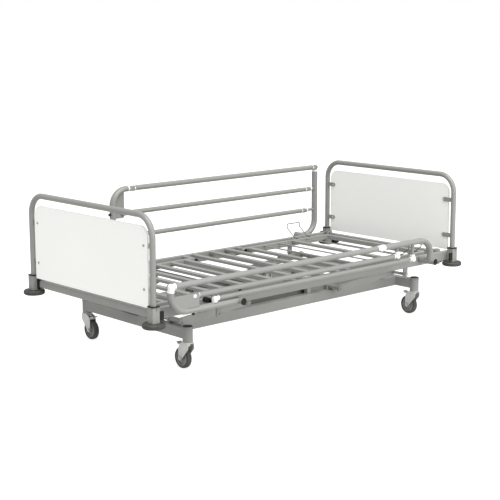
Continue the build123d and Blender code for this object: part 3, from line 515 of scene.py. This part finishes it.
def rail_joints():
    """The moulded white covers of the rails' joints, and the end fittings of their bars."""
    for name, side in SIDES.items():
        up, along = rail_axes(side)
        reach = (at(f"{name}_rail_post_fold") - at(f"{name}_rail_fold")).x * X
        covers = {"bow": bmesh.new(), "post": bmesh.new()}
        for bar, radius in BAR_RADIUS.items():
            pivot = at(f"{name}_{bar}_bar_pivot")
            if bar == "top":
                top_knuckle(covers["bow"], pivot, -along, side)
                top_knuckle(covers["post"], pivot + reach, -up, side)
            else:
                knuckle(covers["post"], pivot + reach, along, side, SLIM_COVER_R, 0.0120, 0.0134)
            if bar == "low":
                knuckle(covers["bow"], pivot, -along, side, SLIM_COVER_R, 0.0156, 0.0150)
            ears, sleeves = bmesh.new(), bmesh.new()
            bar_end(ears, sleeves, pivot, 1, side, radius, LONG_NECK if bar == "mid" else NECK)
            bar_end(ears, sleeves, pivot + reach, -1, side, radius, NECK)
            if bar == "mid":
                dome(sleeves, pivot + side * 0.0141 * Y, side * Y, 0.0090, 0.0046)
            make(f"{name}_{bar}_bar_ears", ears, "powder_coat", f"{name}_{bar}_bar")
            make(f"{name}_{bar}_bar_ends", sleeves, "white_plastic", f"{name}_{bar}_bar")
        for body, bm in covers.items():
            make(f"{name}_{body}_covers", bm, "white_plastic", f"{name}_{body}", radians(50))


# ---------------------------------------------------------------- fittings of the deck and boards
def pole_clamp_screws():
    """The clamp screws of the pole sockets, which point inward."""
    bm = bmesh.new()
    for side in SIDES.values():
        inward = Vector((-0.5, -side, 0)).normalized()
        socket = Vector((POLE_SOCKET, side * 0.4105, 0.330))
        hex_head(bm, socket + 0.0188 * inward, inward, 0.0030, 0.0032)
    make("pole_clamp_screws", bm, "black_plastic", "deck")


def tie_block_black_skins():
    """Thin black skins over the blocks that hold the tie rod under the head crossbar, which make them look dark.
    """
    block_x, block_y = 1.020, 0.396
    bm = bmesh.new()
    for side in SIDES.values():
        # a black box just larger than each block, which darkens the whole block
        rings = []
        for z, inset in ((0.2706, 0.0015), (0.2712, 0.0), (0.2902, 0.0), (0.2908, 0.0015)):
            half_x, half_y = 0.0156 - inset, 0.0236 - inset
            rings.append([Vector((block_x + u * half_x, side * block_y + v * half_y, z))
                          for u, v in SQUARE])
        loft(bm, rings)
    make("tie_block_black_skins", bm, "black_plastic", "deck")


def rail_buffers():
    """Rubber buffers on the side members, where the bows lie when the rails are folded."""
    from_pivot, height, half_x, half_z = 0.145, 0.3320, 0.0130, 0.0135
    profile = ((0.4556, 0.0), (0.4940, 0.0), (0.4985, 0.0020), (0.5000, 0.0055))
    bm = bmesh.new()
    for name, side in SIDES.items():
        x = at(f"{name}_rail_fold").x - from_pivot
        loft(bm, [oval(Vector((x, side * y, height)), X, half_x - inset, Z, half_z - inset,
                       24, pi / 4) for y, inset in profile])
    make("rail_buffers", bm, "black_plastic", "deck")


def side_member_plugs():
    """Black plugs in the ends of the deck's side members."""
    member_y, member_z = 0.4425, 0.308
    low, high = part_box("deck_frame")
    bm = bmesh.new()
    for end, x in ((-1, low.x), (1, high.x)):
        for side in SIDES.values():
            centre = Vector((x + end * 0.0001, side * member_y, member_z))
            rings = []
            for depth, inset in ((0, 0.0002), (0.0012, 0.0002), (0.0018, 0.0012)):
                half_y, half_z = 0.0125 - inset, 0.025 - inset
                rings.append([centre + end * depth * X + u * half_y * Y + v * half_z * Z
                              for u, v in SQUARE])
            loft(bm, rings)
    make("side_member_plugs", bm, "black_plastic", "deck")


def painted_recess_shades():
    """Flat black hexagons on the heads of the panels' screws: painted shade that stands in for their hexagon
    recesses.
    """
    for end_name, end in ENDS.items():
        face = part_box(f"{end_name}_board_screws")[0 if end < 0 else 1].x
        bm = bmesh.new()
        for y in BOARD_SCREWS_Y:
            for z in BOARD_SCREWS_Z:
                # painted shade: a thin black hexagon just proud of each screw head, in place of its shaded recess
                lathe(bm, Vector((face - end * 0.0002, y, z)), end * X,
                      [(0, 0.0031), (0.0004, 0.0031), (0.0005, 0.0028)], 6)
        make(f"{end_name}_screw_recess_shade", bm, "black_plastic", f"{end_name}_board")


# ---------------------------------------------------------------- weld beads
def base_welds():
    """Beads where the members of the base meet."""
    beam_y, beam_low, beam_top = 0.260, 0.150, 0.1962
    bm = bmesh.new()
    for end, cross in ((1, -0.763), (-1, 0.8004)):          # the beams' ends at the cross tubes
        x = cross + end * 0.0006
        for side in SIDES.values():
            for y in (0.240, 0.280):
                seam(bm, Vector((x, side * y, beam_low)), 0.042 * Z, 0.0022)
            seam(bm, Vector((x, side * 0.243, beam_top)), side * 0.034 * Y, 0.0022)
    for x in (-0.783, 0.8204):                              # round the caster stems
        for side in SIDES.values():
            ring_seam(bm, Vector((x, side * 0.3957, 0.1965)), Z, 0.0245, 0.0018)
    for x in (-0.775, 0.290):                               # the lift's bearing ears
        for side in SIDES.values():
            for face in (-1, 1):
                ear = Vector((x - 0.018, side * beam_y + face * 0.0045, 0.1966))
                seam(bm, ear, 0.036 * X, 0.0016)
    make("base_welds", bm, "weld_coat", "base")


def slat_seams(bm, slats, inner):
    """Beads up both edges of the slats' ends, at the inner faces of their side members."""
    half_slat, bead_foot, bead_height = 0.0152, 0.319, 0.013
    for x in slats:
        for side in SIDES.values():
            for face in (-1, 1):
                foot = Vector((x + face * half_slat, side * inner, bead_foot))
                seam(bm, foot, bead_height * Z, 0.0014)


def deck_welds():
    """Beads where the members of the deck meet."""
    bm = bmesh.new()
    for end in ENDS.values():                               # the end crossbars
        for side in SIDES.values():
            for x in (1.0050, 1.0350):
                seam(bm, Vector((end * x, side * MEMBER_FACE, 0.294)), 0.028 * Z, 0.0018)
            seam(bm, Vector((end * 1.008, side * MEMBER_FACE, 0.3252)), end * 0.024 * X, 0.0018)
    slat_seams(bm, SEAT_SLATS, MEMBER_FACE)
    for x in (-0.632, 0.690):                               # the lift's hangers and lugs
        for side in SIDES.values():
            for face in (-1, 1):
                lug = Vector((x - 0.0145, side * 0.440 + face * 0.0045, 0.2825))
                seam(bm, lug, 0.029 * X, 0.0016)
    for side in SIDES.values():                             # the corner sockets and pole sockets
        for end in ENDS.values():
            seam(bm, Vector((end * 1.0208, side * 0.4552, 0.286)), 0.044 * Z, 0.0018)
        seam(bm, Vector((POLE_SOCKET, side * 0.4299, 0.286)), 0.045 * Z, 0.0020)
    make("deck_welds", bm, "weld_coat", "deck")


def section_welds():
    """Beads where the slats meet the side members of the moving sections."""
    for body, inner, slats in (("backrest", 0.3600, BACK_SLATS), ("thigh", 0.3300, THIGH_SLATS),
                               ("foot_rest", 0.3580, FOOT_SLATS)):
        bm = bmesh.new()
        slat_seams(bm, slats, inner)
        make(f"{body}_welds", bm, "weld_coat", body)


def board_welds():
    """Beads round the tabs of the end boards, where they meet the legs."""
    tabs_x, half_tab = 1.041, 0.005
    for end_name, end in ENDS.items():
        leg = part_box(f"{end_name}_board_tube")[1].y - BOARD_TUBE_R
        face = end * tabs_x - end * half_tab
        bm = bmesh.new()
        for side in SIDES.values():
            for z in BOARD_SCREWS_Z:
                tab = Vector((face - end * 0.0042, side * (leg - 0.0105), z - 0.0105))
                seam(bm, tab, 0.021 * Z, 0.0015)
                for edge in (-1, 1):
                    rim = Vector((face, side * (leg - 0.0115), z + edge * 0.0112))
                    seam(bm, rim, -end * 0.004 * X, 0.0014)
        make(f"{end_name}_board_welds", bm, "weld_coat", f"{end_name}_board")


def rail_welds():
    """Beads where the rails' oval tubes meet their pivot tubes, and along the gusset plate."""
    half_width, half_depth = OVAL_TUBE
    pivot_tube_r, points_round = 0.0161, 54
    for name, side in SIDES.items():
        up, along = rail_axes(side)
        for body, joint in (("bow", "rail_fold"), ("post", "rail_post_fold")):
            pivot = at(f"{name}_{joint}")
            bm = bmesh.new()
            tube, rise = (up, along) if body == "bow" else (along, up)
            points = []
            for i in range(points_round):
                angle = 2 * pi * i / points_round
                sideways, depth = half_width * cos(angle), half_depth * sin(angle)
                out = (pivot_tube_r ** 2 - sideways ** 2) ** 0.5
                points.append(pivot + out * tube + sideways * rise + depth * Y)
            bead(bm, points, 0.0017, closed=True)
            if body == "bow":
                for depth in (0.0024, -0.0145):             # the two faces of the gusset plate
                    start = pivot + 0.0154 * along + 0.250 * up - side * depth * Y
                    seam(bm, start, 0.058 * up, 0.0015)
            make(f"{name}_{body}_welds", bm, "weld_coat", f"{name}_{body}")


pivot_nuts()
caster_details()
rail_caps()
rail_joints()
pole_clamp_screws()
tie_block_black_skins()
rail_buffers()
side_member_plugs()
painted_recess_shades()
base_welds()
deck_welds()
section_welds()
board_welds()
rail_welds()


# ---------------------------------------------------------------- floor, light and camera
def floor():
    """A wide pale floor, whose rings grow wider away from the bed."""
    rings, spokes, reach = 40, 64, 60
    bm = bmesh.new()
    centre = bm.verts.new((0, 0, 0))
    previous = None
    for i in range(1, rings + 1):
        radius = reach * (i / rings) ** 2
        row = [bm.verts.new((radius * cos(a), radius * sin(a), 0))
               for a in [2 * pi * k / spokes for k in range(spokes)]]
        for k in range(spokes):
            j = (k + 1) % spokes
            if previous is None:
                bm.faces.new((centre, row[k], row[j]))
            else:
                bm.faces.new((previous[k], row[k], row[j], previous[j]))
        previous = row
    mesh = bpy.data.meshes.new("floor")
    bm.to_mesh(mesh)
    bm.free()
    plane = bpy.data.objects.new("floor", mesh)
    bpy.context.scene.collection.objects.link(plane)
    m = Material("floor_surface", (0.36, 0.36, 0.36), Specular_IOR_Level=0.0,
                 Emission_Color=(1, 1, 1, 1))
    m.vary(0.7, 0.01)
    m.roughness(6, 0.62, 0.75)
    glow, seen_glow = 0.36, 0.80        # what it gives off onto the bed, and how bright it looks
    seen = m.add("ShaderNodeLightPath").outputs["Is Camera Ray"]
    m.link(m.remap(seen, 0, 1, glow, seen_glow), m.shader.inputs["Emission Strength"])
    plane.data.materials.append(m.material)


def light(name, kind, power):
    """A lamp and its data, at the origin."""
    data = bpy.data.lights.new(name, kind)
    data.energy = power
    lamp = bpy.data.objects.new(name, data)
    bpy.context.scene.collection.objects.link(lamp)
    return lamp, data


def aim(direction):
    """The rotation that points a lamp along a direction."""
    return direction.to_track_quat("-Z", "Y").to_euler()


def studio():
    """White surroundings, a broad light from above and a softbox beside the near rail."""
    world = bpy.data.worlds.new("studio")
    bpy.context.scene.world = world
    world.use_nodes = True
    nodes, links = world.node_tree.nodes, world.node_tree.links
    seen = nodes.new("ShaderNodeBackground")
    seen.inputs["Color"].default_value = (1, 1, 1, 1)
    filling = nodes["Background"]
    filling.inputs["Color"].default_value = (1, 1, 1, 1)
    filling.inputs["Strength"].default_value = 0.60
    choice = nodes.new("ShaderNodeMixShader")
    links.new(nodes.new("ShaderNodeLightPath").outputs["Is Camera Ray"], choice.inputs[0])
    links.new(filling.outputs[0], choice.inputs[1])
    links.new(seen.outputs[0], choice.inputs[2])
    links.new(choice.outputs[0], nodes["World Output"].inputs["Surface"])

    lamp, data = light("broad_light", "SUN", 3.5)
    data.angle = radians(50)
    lamp.rotation_euler = aim(Vector((0.163, 0.383, -0.909)))

    lamp, data = light("near_softbox", "AREA", 75)
    data.shape = "RECTANGLE"
    data.size, data.size_y = 4.0, 1.2
    lamp.location = (0.5, -4.5, 1.4)
    lamp.rotation_euler = aim(Vector((0, 0, 0.3)) - lamp.location)
    bpy.context.scene.view_settings.view_transform = "Standard"


def camera():
    """The photograph's point of view."""
    place = Vector((-4.3248, -4.6724, 1.5886))
    yaw, pitch, roll = radians(47.410), radians(10.519), radians(-0.107)
    image_width, focal_length = 500, 1245.0                 # in pixels
    forward = Vector((cos(pitch) * cos(yaw), cos(pitch) * sin(yaw), -sin(pitch)))
    level = Vector((sin(yaw), -cos(yaw), 0))
    upright = level.cross(forward)
    right = cos(roll) * level + sin(roll) * upright
    up = -sin(roll) * level + cos(roll) * upright
    data = bpy.data.cameras.new("camera")
    data.sensor_width = 36
    data.lens = 36 * focal_length / image_width
    data.clip_end = 200
    eye = bpy.data.objects.new("camera", data)
    turn = Matrix((right, up, -forward)).transposed().to_4x4()
    eye.matrix_world = Matrix.Translation(place) @ turn
    bpy.context.scene.collection.objects.link(eye)
    bpy.context.scene.camera = eye


floor()
studio()
camera()

bpy.context.view_layer.update()
